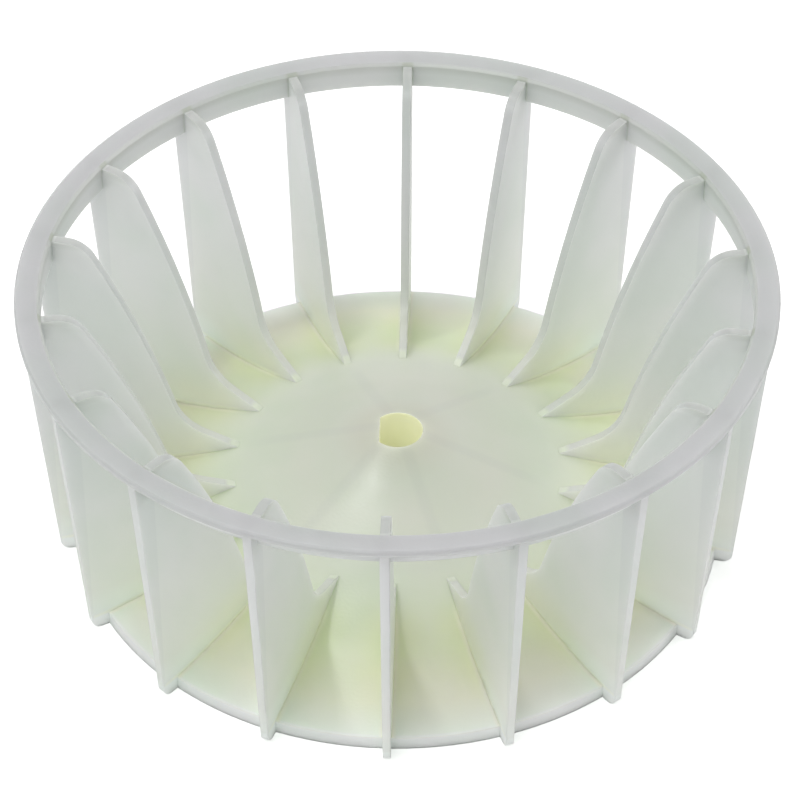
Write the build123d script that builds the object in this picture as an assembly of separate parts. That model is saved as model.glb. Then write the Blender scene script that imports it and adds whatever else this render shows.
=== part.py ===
"""Dryer fan impeller: a one-piece moulded wheel of straight radial blades.

A coned back plate with a hub carries the blades, and an angle-section ring joins their tips.
The origin is on the bore axis, in the plane of the blade feet. +Z points at the air inlet.
Lengths are in millimetres and angles in degrees.
"""

from build123d import *
import os

# Whole wheel
overall_height = 73.0
blade_count = 18
first_blade_angle = -90.0

# Tip ring: an angle section, with a flange that turns out and a wall that turns down
ring_outer_radius = 87.5
flange_width = 5.8
flange_thickness = 1.6
flange_edge_bevel = 0.4
ring_height = 6.7
ring_wall = 1.9
ring_lip_bevel = 0.7

# Back plate: a cone inside the crease circle, and a hollow sweep from there to the rim
plate_radius = 77.1
plate_wall = 2.2
rim_height = 3.6
rim_wall = 2.2
sweep_sag = 1.6
crease_radius = 37.6
crease_height = 15.4
cone_rise = 13.8

# Blades: thinner at the feet than at the ring, with a heel that runs out at the crease
blade_tip_thickness = 2.2
blade_foot_thickness = 1.8
blade_top_gap = 0.8
blade_tip_inset = 0.7
blade_top_width = 12.5
blade_shoulder_corner = 7.2
blade_inner_bulge = 1.8
blade_heel_reach = 15.2
blade_heel_rise = 4.3
blade_heel_corner = 11.0
blade_foot_overhang = 4.1
blade_foot_corner = 2.6

# Hub: a round bore clears the shaft, and a snug one above it has the driving flat
hub_bottom = 2.0
hub_wall = 4.2
bore_radius = 6.0
bore_flat_depth = 1.75
round_bore_length = 11.0
round_bore_clearance = 0.25

# Ribs under the plate, each below a blade
rib_count = 6
rib_thickness = 1.6
rib_foot_rise = 2.0
rib_end_depth = 2.0

blade_pitch = 360.0 / blade_count
first_rib_angle = first_blade_angle + blade_pitch
ring_inner_radius = ring_outer_radius - flange_width
cone_peak_height = crease_height + cone_rise
hub_radius = bore_radius + hub_wall


def surface_section(drop, floor, reach):
    """Return the half section under the plate's upper surface, lowered by drop, out to reach."""
    with BuildSketch(Plane.XZ) as section:
        with BuildLine():
            cone = Line((0, cone_peak_height - drop), (crease_radius, crease_height - drop))
            sweep = SagittaArc(cone @ 1, (plate_radius, rim_height - drop), -sweep_sag)
            Polyline(sweep @ 1, (plate_radius, floor), (0, floor), cone @ 0)
        make_face()
        with Locations((0, floor)):
            Rectangle(reach, cone_peak_height - floor, align=Align.MIN, mode=Mode.INTERSECT)
    return section.sketch


def plate_blank():
    """Return the back plate before its underside is hollowed."""
    return revolve(surface_section(0, 0, plate_radius), Axis.Z)


def below_plate(depth):
    """Return the space inside the rim, from a depth below the plate's upper surface down."""
    return revolve(surface_section(depth, -plate_wall, plate_radius - rim_wall), Axis.Z)


def tip_ring():
    """Return the angle-section ring that joins the blade tips."""
    flange_bottom = overall_height - flange_thickness
    wall_bottom = overall_height - ring_height
    wall_outer_radius = ring_inner_radius + ring_wall
    with BuildPart() as ring:
        with BuildSketch(Plane.XZ) as section:
            with BuildLine():
                Polyline(
                    (ring_inner_radius, wall_bottom),
                    (ring_inner_radius, overall_height),
                    (ring_outer_radius, overall_height),
                    (ring_outer_radius, flange_bottom),
                    (wall_outer_radius, flange_bottom),
                    (wall_outer_radius, wall_bottom),
                    close=True,
                )
            make_face()
            chamfer(section.vertices().group_by(Axis.X)[-1].sort_by(Axis.Y)[-1], flange_edge_bevel)
            chamfer(section.vertices().group_by(Axis.X)[0].sort_by(Axis.Y)[-1], ring_lip_bevel)
        revolve(axis=Axis.Z)
    return ring.part


def blade_outline():
    """Return the side view of one blade, on the XZ plane with +X pointing outwards."""
    blade_top = overall_height - blade_top_gap
    tip_radius = ring_outer_radius - blade_tip_inset
    foot = (plate_radius + blade_foot_overhang, 0)
    shoulder = (tip_radius - blade_top_width, blade_top)
    heel = (crease_radius + blade_heel_reach, crease_height + blade_heel_rise)
    tail = (crease_radius, crease_height - plate_wall / 2)
    with BuildSketch(Plane.XZ) as side:
        with BuildLine():
            Polyline(foot, (tip_radius, blade_top), shoulder)
            SagittaArc(shoulder, heel, -blade_inner_bulge)
            Polyline(heel, tail, (crease_radius, 0), foot)
        make_face()
        for corner, radius in (
            (shoulder, blade_shoulder_corner),
            (heel, blade_heel_corner),
            (foot, blade_foot_corner),
        ):
            fillet(side.vertices().sort_by_distance(corner)[0], radius)
    return side.sketch


def blade():
    """Return one blade along +X, its thickness tapered from the ring to the foot."""
    slab = extrude(blade_outline(), blade_tip_thickness, both=True)
    half_foot = blade_foot_thickness / 2
    half_tip = blade_tip_thickness / 2
    with BuildPart() as taper:
        with BuildSketch(Plane.YZ):
            with BuildLine():
                Polyline(
                    (-half_foot, 0),
                    (half_foot, 0),
                    (half_tip, overall_height),
                    (-half_tip, overall_height),
                    close=True,
                )
            make_face()
        extrude(amount=ring_outer_radius + plate_radius, both=True)
    return slab & taper.part


def hub():
    """Return the boss round the bore, tall enough to pass through the plate."""
    boss = Cylinder(
        hub_radius,
        cone_peak_height - hub_bottom,
        align=(Align.CENTER, Align.CENTER, Align.MIN),
    )
    return Pos(0, 0, hub_bottom) * boss


def rib():
    """Return one rib along +X, from inside the hub's wall to just past the crease."""
    root_radius = hub_radius - hub_wall / 2
    foot_height = hub_bottom + rib_foot_rise
    end_radius = crease_radius + plate_wall
    end_height = crease_height - plate_wall - rib_end_depth
    with BuildPart() as web:
        with BuildSketch(Plane.XZ):
            with BuildLine():
                Polyline(
                    (root_radius, foot_height),
                    (hub_radius, foot_height),
                    (end_radius, end_height),
                    (end_radius, cone_peak_height),
                    (root_radius, cone_peak_height),
                    close=True,
                )
            make_face()
        extrude(amount=rib_thickness / 2, both=True)
    return web.part


def shaft_bore():
    """Return the bore: round and a little wide in its lower part, with a driving flat above."""
    on_floor = (Align.CENTER, Align.CENTER, Align.MIN)
    bore_height = cone_peak_height - hub_bottom
    with BuildPart() as bore:
        with Locations((0, 0, hub_bottom)):
            Cylinder(bore_radius, bore_height, align=on_floor)
        with Locations((bore_flat_depth - bore_radius, 0, hub_bottom)):
            Box(
                bore_radius,
                2 * bore_radius,
                bore_height,
                align=(Align.MAX, Align.CENTER, Align.MIN),
                mode=Mode.SUBTRACT,
            )
        with Locations((0, 0, hub_bottom)):
            Cylinder(bore_radius + round_bore_clearance, round_bore_length, align=on_floor)
    return bore.part


def around_axis(piece, count, first_angle):
    """Return copies of a piece, evenly turned about the axis."""
    return [Rot(0, 0, first_angle + 360.0 / count * index) * piece for index in range(count)]


def impeller():
    """Return the whole wheel as one solid."""
    blades = around_axis(blade(), blade_count, first_blade_angle)
    ribs = around_axis(rib(), rib_count, first_rib_angle)
    wheel = plate_blank() + blades + tip_ring()
    wheel -= below_plate(plate_wall)
    wheel += (hub() + ribs) & below_plate(plate_wall / 2)
    return wheel - shaft_bore()


os.makedirs("parts", exist_ok=True)
export_step(impeller(), "parts/impeller.step")
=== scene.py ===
"""Looks of the dryer fan impeller: natural, milky moulded plastic in plain studio light."""

import math
from types import SimpleNamespace

import bpy
from mathutils import Matrix, Vector

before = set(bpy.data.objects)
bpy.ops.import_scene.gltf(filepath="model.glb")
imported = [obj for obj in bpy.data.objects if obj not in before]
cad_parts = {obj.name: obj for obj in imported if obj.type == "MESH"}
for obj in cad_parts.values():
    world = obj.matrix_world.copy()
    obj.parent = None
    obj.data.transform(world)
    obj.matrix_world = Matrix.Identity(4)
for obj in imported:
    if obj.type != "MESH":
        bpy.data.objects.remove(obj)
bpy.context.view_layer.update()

# Camera, solved from the photograph. Lengths in metres but the sensor's in millimetres, angles in
# degrees, pixels in an 800 by 800 frame
IMAGE_SIZE = 800
SENSOR_WIDTH = 36.0
FOCAL_PIXELS = 3869.3
CAMERA_DISTANCE = 0.9094
CAMERA_ELEVATION = 42.525
CAMERA_AZIMUTH = 1.906
CAMERA_ROLL = -0.1555
TARGET_HEIGHT = 0.03655
TARGET_PIXEL = (397.56, 400.05)

WHITE = (1.0, 1.0, 1.0, 1.0)
BLACK = (0.0, 0.0, 0.0, 1.0)

# Light: a white dome, and soft square lamps as (name, direction, height angle, distance, size, watts)
WORLD_STRENGTH = 0.48
LAMPS = (
    ("key", 243.0, 58.0, 1.3, 0.7, 4.1),
    ("left", 195.0, 45.0, 1.3, 0.7, 1.3),
    ("right", 8.0, 30.0, 1.3, 0.7, 2.6),
    ("back", 87.0, 42.0, 1.3, 0.7, 2.4),
    ("top", 143.6, 72.0, 1.1, 0.12, 1.5),
)

# Stage. The glow is what the camera alone sees on top of the lit floor, so that it looks white
FLOOR_SIZE = 6.0
FLOOR_COLOUR = (0.92, 0.92, 0.92, 1.0)
FLOOR_GLOW = 0.4

# Forms of the wheel that the plastic's colour follows
WHEEL_HEIGHT = 0.073
WHEEL_RADIUS = 0.0875
BLADE_COUNT = 18
FIRST_BLADE_ANGLE = 10.0
RIB_COUNT = 6
FIRST_RIB_ANGLE = 50.0
CREASE_RADIUS = 0.0376
CREASE_HEIGHT = 0.0154
RIM_RADIUS = 0.0771
RIM_HEIGHT = 0.0036
SWEEP_SAG = 0.0016

# Tints of the plastic, by height on the blades and by radius on the plate. Partly the plastic's own colour,
# partly painted light and shade: lighter and yellower low on the blades and out on the plate, where less
# light reaches, and darker at the blades' tops by the ring
BLADE_TINTS_AND_PAINTED_LIGHT = (
    (0.005, (0.835, 0.90, 0.82)),
    (0.012, (0.80, 0.82, 0.76)),
    (0.024, (0.775, 0.80, 0.755)),
    (0.040, (0.75, 0.775, 0.75)),
    (0.060, (0.735, 0.755, 0.745)),
    (0.070, (0.705, 0.725, 0.71)),
    (0.0722, (0.57, 0.59, 0.56)),
)
PLATE_TINTS_AND_PAINTED_LIGHT = (
    (0.009, (0.625, 0.64, 0.545)),
    (0.015, (0.655, 0.685, 0.59)),
    (0.024, (0.68, 0.71, 0.61)),
    (0.036, (0.715, 0.765, 0.645)),
    (0.043, (0.765, 0.83, 0.665)),
    (0.052, (0.80, 0.875, 0.645)),
    (0.060, (0.875, 0.975, 0.70)),
    (0.068, (0.905, 0.998, 0.75)),
    (0.0765, (0.86, 0.998, 0.83)),
)
# The rim's face is lighter with painted light
RIM_TINT_AND_PAINTED_LIGHT = (0.90, 0.99, 0.91, 1.0)
# The ring is darker with painted shade
RING_TINT_AND_PAINTED_SHADE = (0.49, 0.50, 0.495, 1.0)
# Painted light at the roots of the blades
ROOT_PAINTED_LIGHT = (0.925, 0.99, 0.81, 1.0)
# The bore's wall is lighter and yellower with painted light
BORE_TINT_AND_PAINTED_LIGHT = (0.985, 0.99, 0.77, 1.0)

# Painted glow on the bore's wall, an emission that stands in for light reaching it through the plastic round
# it
BORE_PAINTED_GLOW = (0.155, 0.16, 0.095, 1.0)

# Shades that the tints are multiplied by: a painted yellow in deep corners, painted shade on the blades'
# inner edges, over the ribs, where the blades end inside the ring, on the ring's wall, and in dark and pale
# clouds
PAINTED_DEEP_YELLOW = (1.0, 1.0, 0.92, 1.0)
EDGE_PAINTED_SHADE = (0.81, 0.81, 0.82, 1.0)
RIB_SHADE = (0.97, 0.97, 0.98, 1.0)
JOINT_SHADE = (0.88, 0.90, 0.83, 1.0)
WALL_SHADE = (0.96, 0.96, 0.97, 1.0)
DARK_CLOUD_SHADE = (0.965, 0.985, 0.965, 1.0)
PALE_CLOUD_SHADE = (1.025, 1.01, 1.025, 1.0)

# Where each tint and shade starts, and where it is full
# Slopes of the surface
UPWARD = (0.4, 0.8)
INWARD = (0.35, 0.75)
# Heights
RIM_TOP = (0.0042, 0.0030)
RING_FLANGE = (0.0708, 0.0716)
BORE_DEPTH = (0.004, 0.018)
# Radii
BORE_EDGE = (0.0066, 0.0064)
RIB_REACH = (CREASE_RADIUS, 0.030)
PAST_CREASE = (0.041, 0.050)
OPEN_TO_DEEP = (0.074, 0.060)
RIM_FACE = (0.0762, 0.0768)
RING_WALL = (0.0808, 0.0812)
RING_INSIDE = (0.0820, 0.0826)
# Distances from the plate's surface
ABOVE_PLATE = (0.0025, 0.0010)
BLADE_ROOT = (0.0014, 0.0001)
BLADE_DEEP = (0.016, 0.001)
# Distances from the middle of the nearest blade or rib
PLATE_ROOT = (0.0024, 0.0010)
PLATE_DEEP = (0.010, 0.001)
BLADE_END = (0.0018, 0.0008)
RIB_LINE = (0.0022, 0.0006)
# Values of the cloud noise
DARK_CLOUDS = (0.52, 0.36)
PALE_CLOUDS = (0.48, 0.64)

# Noises, as repeats in a metre, and how finely the two slow ones are broken up
CLOUD_SCALE = 38.0
PATCH_SCALE = 55.0
WAVE_SCALE = 90.0
GRAIN_SCALE = 1400.0
SLOW_NOISE_DETAIL = 2.0

# Relief: heights of the moulding's slow waves and fine grain, how far the shading of an edge is
# softened, and the cone's crown, highest at its radius and falling by its curve times distance squared
WAVE_HEIGHT = 0.0003
GRAIN_HEIGHT = 0.00002
EDGE_RADIUS = 0.0004
EDGE_SAMPLES = 2
CROWN_RADIUS = 0.024
CROWN_CURVE = 2.4

# The plastic's gloss, which varies in patches, and how far light spreads inside it
ROUGHNESS = (0.25, 0.39)
REFRACTIVE_INDEX = 1.49
BLADE_SPREAD = 0.005
PLATE_SPREAD = 0.0025
BORE_SPREAD = 0.001


def add_node(tree, kind, **settings):
    """Adds a shader node and sets its plain properties."""
    node = tree.nodes.new(kind)
    for name, value in settings.items():
        setattr(node, name, value)
    return node


def new_material(name):
    """Returns a material with an empty tree and its output node."""
    material = bpy.data.materials.new(name)
    material.use_nodes = True
    tree = material.node_tree
    tree.nodes.clear()
    return material, tree, tree.nodes.new("ShaderNodeOutputMaterial")


def make_camera():
    """Makes the camera that sees the wheel as the photograph does."""
    azimuth = math.radians(CAMERA_AZIMUTH)
    elevation = math.radians(CAMERA_ELEVATION)
    roll = math.radians(CAMERA_ROLL)
    back = Vector((
        math.sin(azimuth) * math.cos(elevation),
        -math.cos(azimuth) * math.cos(elevation),
        math.sin(elevation),
    ))
    level_right = Vector((math.cos(azimuth), math.sin(azimuth), 0.0))
    level_up = back.cross(level_right)
    right = math.cos(roll) * level_right + math.sin(roll) * level_up
    up = math.cos(roll) * level_up - math.sin(roll) * level_right
    turn = Matrix((right, up, back)).transposed()

    data = bpy.data.cameras.new("camera")
    data.sensor_width = SENSOR_WIDTH
    data.lens = FOCAL_PIXELS / IMAGE_SIZE * SENSOR_WIDTH
    data.shift_x = (IMAGE_SIZE / 2 - TARGET_PIXEL[0]) / IMAGE_SIZE
    data.shift_y = (TARGET_PIXEL[1] - IMAGE_SIZE / 2) / IMAGE_SIZE
    camera = bpy.data.objects.new("camera", data)
    place = Vector((0.0, 0.0, TARGET_HEIGHT)) + back * CAMERA_DISTANCE
    camera.matrix_world = Matrix.Translation(place) @ turn.to_4x4()
    bpy.context.scene.collection.objects.link(camera)
    bpy.context.scene.camera = camera


def white_background(tree, strength):
    """A white background shader of some strength."""
    node = tree.nodes.new("ShaderNodeBackground")
    node.inputs["Color"].default_value = WHITE
    node.inputs["Strength"].default_value = strength
    return node


def make_world():
    """A plain dome that lights the wheel. The camera sees it at full white."""
    world = bpy.data.worlds.new("studio")
    world.use_nodes = True
    tree = world.node_tree
    tree.nodes.clear()
    output = tree.nodes.new("ShaderNodeOutputWorld")
    dome = white_background(tree, WORLD_STRENGTH)
    seen_dome = white_background(tree, 1.0)
    path = tree.nodes.new("ShaderNodeLightPath")
    seen = combine(tree, "MAXIMUM", path.outputs["Is Camera Ray"], path.outputs["Is Transmission Ray"])
    mix = tree.nodes.new("ShaderNodeMixShader")
    tree.links.new(seen, mix.inputs["Fac"])
    tree.links.new(dome.outputs[0], mix.inputs[1])
    tree.links.new(seen_dome.outputs[0], mix.inputs[2])
    tree.links.new(mix.outputs[0], output.inputs["Surface"])
    bpy.context.scene.world = world


def floor_paint():
    """A pale matt paint that the camera sees as white, with the wheel's shadow on it."""
    material, tree, output = new_material("floor")
    diffuse = tree.nodes.new("ShaderNodeBsdfDiffuse")
    diffuse.inputs["Color"].default_value = FLOOR_COLOUR
    path = tree.nodes.new("ShaderNodeLightPath")
    glow = tree.nodes.new("ShaderNodeEmission")
    strength = combine(tree, "MULTIPLY", path.outputs["Is Camera Ray"], FLOOR_GLOW)
    tree.links.new(strength, glow.inputs["Strength"])
    both = tree.nodes.new("ShaderNodeAddShader")
    tree.links.new(diffuse.outputs[0], both.inputs[0])
    tree.links.new(glow.outputs[0], both.inputs[1])
    tree.links.new(both.outputs[0], output.inputs["Surface"])
    return material


def make_floor():
    """The pale floor, at the feet of the wheel."""
    half = FLOOR_SIZE / 2
    corners = [(-half, -half, 0.0), (half, -half, 0.0), (half, half, 0.0), (-half, half, 0.0)]
    mesh = bpy.data.meshes.new("floor")
    mesh.from_pydata(corners, [], [(0, 1, 2, 3)])
    mesh.materials.append(floor_paint())
    floor = bpy.data.objects.new("floor", mesh)
    bpy.context.scene.collection.objects.link(floor)


def make_lamp(name, direction, height_angle, distance, size, power):
    """A soft lamp that shines on the wheel from a direction and a height, both in degrees."""
    around = math.radians(direction)
    above = math.radians(height_angle)
    out = Vector((math.cos(above) * math.cos(around), math.cos(above) * math.sin(around), math.sin(above)))
    data = bpy.data.lights.new(name, "AREA")
    data.shape = "SQUARE"
    data.size = size
    data.energy = power
    lamp = bpy.data.objects.new(name, data)
    lamp.location = Vector((0.0, 0.0, TARGET_HEIGHT)) + out * distance
    lamp.rotation_mode = "QUATERNION"
    lamp.rotation_quaternion = (-out).to_track_quat("-Z", "Y")
    bpy.context.scene.collection.objects.link(lamp)


def link_or_set(tree, socket, value):
    """Feeds a socket from another node's output, or sets it to a plain value."""
    if isinstance(value, bpy.types.NodeSocket):
        tree.links.new(value, socket)
    else:
        socket.default_value = value


def combine(tree, operation, first, second):
    """Combines two numbers, each an output or a plain value."""
    node = add_node(tree, "ShaderNodeMath", operation=operation)
    link_or_set(tree, node.inputs[0], first)
    link_or_set(tree, node.inputs[1], second)
    return node.outputs[0]


def combine_all(tree, operation, first, *others):
    """Combines several numbers one after the other."""
    for other in others:
        first = combine(tree, operation, first, other)
    return first


def product(tree, *values):
    """Multiplies several numbers."""
    return combine_all(tree, "MULTIPLY", *values)


def total(tree, *values):
    """Adds several numbers."""
    return combine_all(tree, "ADD", *values)


def either(tree, *shares):
    """The highest of several shares."""
    return combine_all(tree, "MAXIMUM", *shares)


def none_of(tree, *shares):
    """What the highest of several shares leaves of 1."""
    return combine(tree, "SUBTRACT", 1.0, either(tree, *shares))


def fade(tree, value, start, end):
    """Rises smoothly from 0 where the value is at start to 1 where it is at end."""
    node = add_node(tree, "ShaderNodeMapRange", interpolation_type="SMOOTHSTEP")
    tree.links.new(value, node.inputs["Value"])
    node.inputs["From Min"].default_value = start
    node.inputs["From Max"].default_value = end
    return node.outputs["Result"]


def between(tree, share, low, high):
    """Runs from low to high while the share goes from 0 to 1."""
    node = tree.nodes.new("ShaderNodeMapRange")
    tree.links.new(share, node.inputs["Value"])
    node.inputs["To Min"].default_value = low
    node.inputs["To Max"].default_value = high
    return node.outputs["Result"]


def ramp(tree, value, end, stops):
    """A colour that runs through the stops, whose places are lengths up to end."""
    share = combine(tree, "DIVIDE", value, end)
    node = tree.nodes.new("ShaderNodeValToRGB")
    tree.links.new(share, node.inputs["Fac"])
    elements = node.color_ramp.elements
    while len(elements) < len(stops):
        elements.new(1.0)
    for element, (place, colour) in zip(elements, stops):
        element.position = place / end
        element.color = (*colour, 1.0)
    return node.outputs["Color"]


def blend_colour(tree, share, first, second, blend_type="MIX"):
    """Mixes two colours by a share."""
    node = add_node(tree, "ShaderNodeMix", data_type="RGBA", blend_type=blend_type)
    link_or_set(tree, node.inputs["Factor"], share)
    link_or_set(tree, node.inputs["A"], first)
    link_or_set(tree, node.inputs["B"], second)
    return node.outputs["Result"]


def shade(tree, share, colour, by):
    """Multiplies a colour by a shade, as far as the share says."""
    return blend_colour(tree, share, colour, by, "MULTIPLY")


def noise(tree, place, scale, detail=0.0):
    """A soft noise in the wheel's own space."""
    node = tree.nodes.new("ShaderNodeTexNoise")
    tree.links.new(place, node.inputs["Vector"])
    node.inputs["Scale"].default_value = scale
    node.inputs["Detail"].default_value = detail
    return node.outputs[0]


def distance_round(tree, at, count, first_angle):
    """Distance round the wheel to the nearest of some evenly spaced planes through its axis."""
    turns = product(tree, at.angle, count / math.tau)
    turns = combine(tree, "SUBTRACT", turns, first_angle * count / 360.0)
    share = combine(tree, "PINGPONG", turns, 0.5)
    return product(tree, share, math.tau / count, at.radius)


def height_above_plate(tree, at):
    """Height above the plate's hollow sweep, which sags as a parabola between the crease and the rim."""
    along = combine(tree, "SUBTRACT", at.radius, CREASE_RADIUS)
    along = combine(tree, "DIVIDE", along, RIM_RADIUS - CREASE_RADIUS)
    straight = product(tree, along, RIM_HEIGHT - CREASE_HEIGHT)
    sag = product(tree, along, combine(tree, "SUBTRACT", along, 1.0), 4 * SWEEP_SAG)
    return combine(tree, "SUBTRACT", at.height, total(tree, straight, sag, CREASE_HEIGHT))


def find_place(tree):
    """Where a point lies on the wheel, and which way its surface faces there."""
    coordinates = tree.nodes.new("ShaderNodeTexCoord")
    place = tree.nodes.new("ShaderNodeSeparateXYZ")
    facing = tree.nodes.new("ShaderNodeSeparateXYZ")
    tree.links.new(coordinates.outputs["Object"], place.inputs[0])
    tree.links.new(coordinates.outputs["Normal"], facing.inputs[0])
    at = SimpleNamespace(point=coordinates.outputs["Object"], height=place.outputs["Z"])
    squares = [product(tree, place.outputs[axis], place.outputs[axis]) for axis in "XY"]
    at.radius = combine(tree, "SQRT", total(tree, *squares), 0.0)
    at.angle = combine(tree, "ARCTAN2", place.outputs["Y"], place.outputs["X"])
    slopes = [product(tree, place.outputs[axis], facing.outputs[axis]) for axis in "XY"]
    outward = combine(tree, "DIVIDE", total(tree, *slopes), at.radius)
    at.upward = fade(tree, facing.outputs["Z"], *UPWARD)
    at.inward = fade(tree, product(tree, outward, -1.0), *INWARD)
    at.from_blade = distance_round(tree, at, BLADE_COUNT, FIRST_BLADE_ANGLE)
    at.from_rib = distance_round(tree, at, RIB_COUNT, FIRST_RIB_ANGLE)
    at.above_plate = height_above_plate(tree, at)
    return at


def find_form(tree, at):
    """How far a point belongs to each form of the wheel, as shares from 0 to 1."""
    on = SimpleNamespace()
    on.plate = product(tree, at.upward, fade(tree, at.above_plate, *ABOVE_PLATE))
    on.rim = product(tree, fade(tree, at.radius, *RIM_FACE), fade(tree, at.height, *RIM_TOP))
    on.ring = product(tree, fade(tree, at.height, *RING_FLANGE), fade(tree, at.radius, *RING_INSIDE))
    on.wall = fade(tree, at.radius, *RING_WALL)
    on.blade = none_of(tree, on.plate, on.wall, on.rim)
    on.bore = product(tree, none_of(tree, at.upward), fade(tree, at.radius, *BORE_EDGE))
    return on


def tints_with_painted_light(tree, at, on):
    """The tint of each form, partly its own colour and partly painted light and shade."""
    colour = ramp(tree, at.height, WHEEL_HEIGHT, BLADE_TINTS_AND_PAINTED_LIGHT)
    colour = blend_colour(tree, on.plate, colour, ramp(tree, at.radius, WHEEL_RADIUS, PLATE_TINTS_AND_PAINTED_LIGHT))
    colour = blend_colour(tree, on.rim, colour, RIM_TINT_AND_PAINTED_LIGHT)
    colour = blend_colour(tree, on.ring, colour, RING_TINT_AND_PAINTED_SHADE)
    return blend_colour(tree, on.bore, colour, BORE_TINT_AND_PAINTED_LIGHT)


def paint_corner_light(tree, at, on, colour):
    """Paints light on the roots of the blades, and paints yellow into the corners deep inside the wheel,
    standing in for the light that reaches them through the plastic.
    """
    past_crease = fade(tree, at.radius, *PAST_CREASE)
    blade_root = product(tree, on.blade, fade(tree, at.above_plate, *BLADE_ROOT))
    plate_root = product(tree, on.plate, fade(tree, at.from_blade, *PLATE_ROOT))
    root = product(tree, either(tree, blade_root, plate_root), past_crease)
    colour = blend_colour(tree, root, colour, ROOT_PAINTED_LIGHT)
    blade_depth = product(tree, on.blade, fade(tree, at.above_plate, *BLADE_DEEP))
    plate_depth = product(tree, on.plate, fade(tree, at.from_blade, *PLATE_DEEP))
    inside = product(tree, past_crease, fade(tree, at.radius, *OPEN_TO_DEEP))
    return shade(tree, product(tree, either(tree, blade_depth, plate_depth), inside), colour, PAINTED_DEEP_YELLOW)


def shade_details(tree, at, on, colour):
    """Paints shade on the blades' inner edges, which face up and in, and shades the ribs that show through,
    the blades' ends and the ring's wall.
    """
    inner_edge = product(tree, either(tree, at.inward, at.upward), on.blade)
    colour = shade(tree, inner_edge, colour, EDGE_PAINTED_SHADE)
    over_rib = product(tree, fade(tree, at.from_rib, *RIB_LINE), fade(tree, at.radius, *RIB_REACH), on.plate)
    colour = shade(tree, over_rib, colour, RIB_SHADE)
    joint = product(tree, fade(tree, at.from_blade, *BLADE_END), at.inward, on.wall)
    colour = shade(tree, joint, colour, JOINT_SHADE)
    return shade(tree, on.wall, colour, WALL_SHADE)


def add_clouds(tree, at, colour):
    """Soft cloudiness in the depth of the plastic."""
    clouds = noise(tree, at.point, CLOUD_SCALE, SLOW_NOISE_DETAIL)
    colour = shade(tree, fade(tree, clouds, *DARK_CLOUDS), colour, DARK_CLOUD_SHADE)
    return shade(tree, fade(tree, clouds, *PALE_CLOUDS), colour, PALE_CLOUD_SHADE)


def light_spread(tree, on):
    """How far light spreads inside each form, in metres."""
    spread = between(tree, either(tree, on.plate, on.rim), BLADE_SPREAD, PLATE_SPREAD)
    return total(tree, spread, between(tree, on.bore, 0.0, BORE_SPREAD - BLADE_SPREAD))


def painted_bore_glow(tree, at, on):
    """The bore wall's painted glow, standing in for light through the plastic, which grows from its lower
    end up.
    """
    share = product(tree, on.bore, fade(tree, at.height, *BORE_DEPTH))
    return blend_colour(tree, share, BLACK, BORE_PAINTED_GLOW)


def relief(tree, at, on):
    """Soft edges, the crown of the cone, slow waves and fine grain, as a turned normal."""
    from_crown = combine(tree, "SUBTRACT", combine(tree, "MINIMUM", at.radius, CREASE_RADIUS), CROWN_RADIUS)
    crown = product(tree, from_crown, from_crown, -CROWN_CURVE, on.plate)
    waves = product(tree, noise(tree, at.point, WAVE_SCALE), WAVE_HEIGHT)
    grain = product(tree, noise(tree, at.point, GRAIN_SCALE), GRAIN_HEIGHT)
    soft_edges = add_node(tree, "ShaderNodeBevel", samples=EDGE_SAMPLES)
    soft_edges.inputs["Radius"].default_value = EDGE_RADIUS
    bump = tree.nodes.new("ShaderNodeBump")
    bump.inputs["Strength"].default_value = 1.0
    bump.inputs["Distance"].default_value = 1.0
    tree.links.new(total(tree, crown, waves, grain), bump.inputs["Height"])
    tree.links.new(soft_edges.outputs[0], bump.inputs["Normal"])
    return bump.outputs[0]


def moulded_plastic():
    """Natural polypropylene: satin, lit through, cool where it is open and yellow-green in its depths, with
    painted light and shade in its colour.
    """
    material, tree, output = new_material("natural_polypropylene")
    at = find_place(tree)
    on = find_form(tree, at)
    # Tints that hold painted light and shade
    colour = tints_with_painted_light(tree, at, on)
    # Painted light at the blades' roots and painted yellow in the deep corners
    colour = paint_corner_light(tree, at, on, colour)
    # Painted shade on the blades' inner edges
    colour = shade_details(tree, at, on, colour)
    colour = add_clouds(tree, at, colour)
    patches = noise(tree, at.point, PATCH_SCALE, SLOW_NOISE_DETAIL)

    surface = tree.nodes.new("ShaderNodeBsdfPrincipled")
    tree.links.new(colour, surface.inputs["Base Color"])
    tree.links.new(between(tree, patches, *ROUGHNESS), surface.inputs["Roughness"])
    surface.inputs["IOR"].default_value = REFRACTIVE_INDEX
    surface.inputs["Subsurface Weight"].default_value = 1.0
    surface.inputs["Subsurface Radius"].default_value = (1.0, 1.0, 1.0)
    tree.links.new(light_spread(tree, on), surface.inputs["Subsurface Scale"])
    surface.inputs["Emission Strength"].default_value = 1.0
    # Painted glow on the bore's wall
    tree.links.new(painted_bore_glow(tree, at, on), surface.inputs["Emission Color"])
    tree.links.new(relief(tree, at, on), surface.inputs["Normal"])
    tree.links.new(surface.outputs[0], output.inputs["Surface"])
    material.cycles.emission_sampling = "NONE"
    return material


def dress_wheel():
    """Gives the CAD wheel its plastic."""
    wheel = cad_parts["impeller"]
    wheel.data.materials.clear()
    wheel.data.materials.append(moulded_plastic())


make_camera()
make_world()
make_floor()
for lamp_settings in LAMPS:
    make_lamp(*lamp_settings)
dress_wheel()
bpy.context.scene.view_settings.view_transform = "Standard"
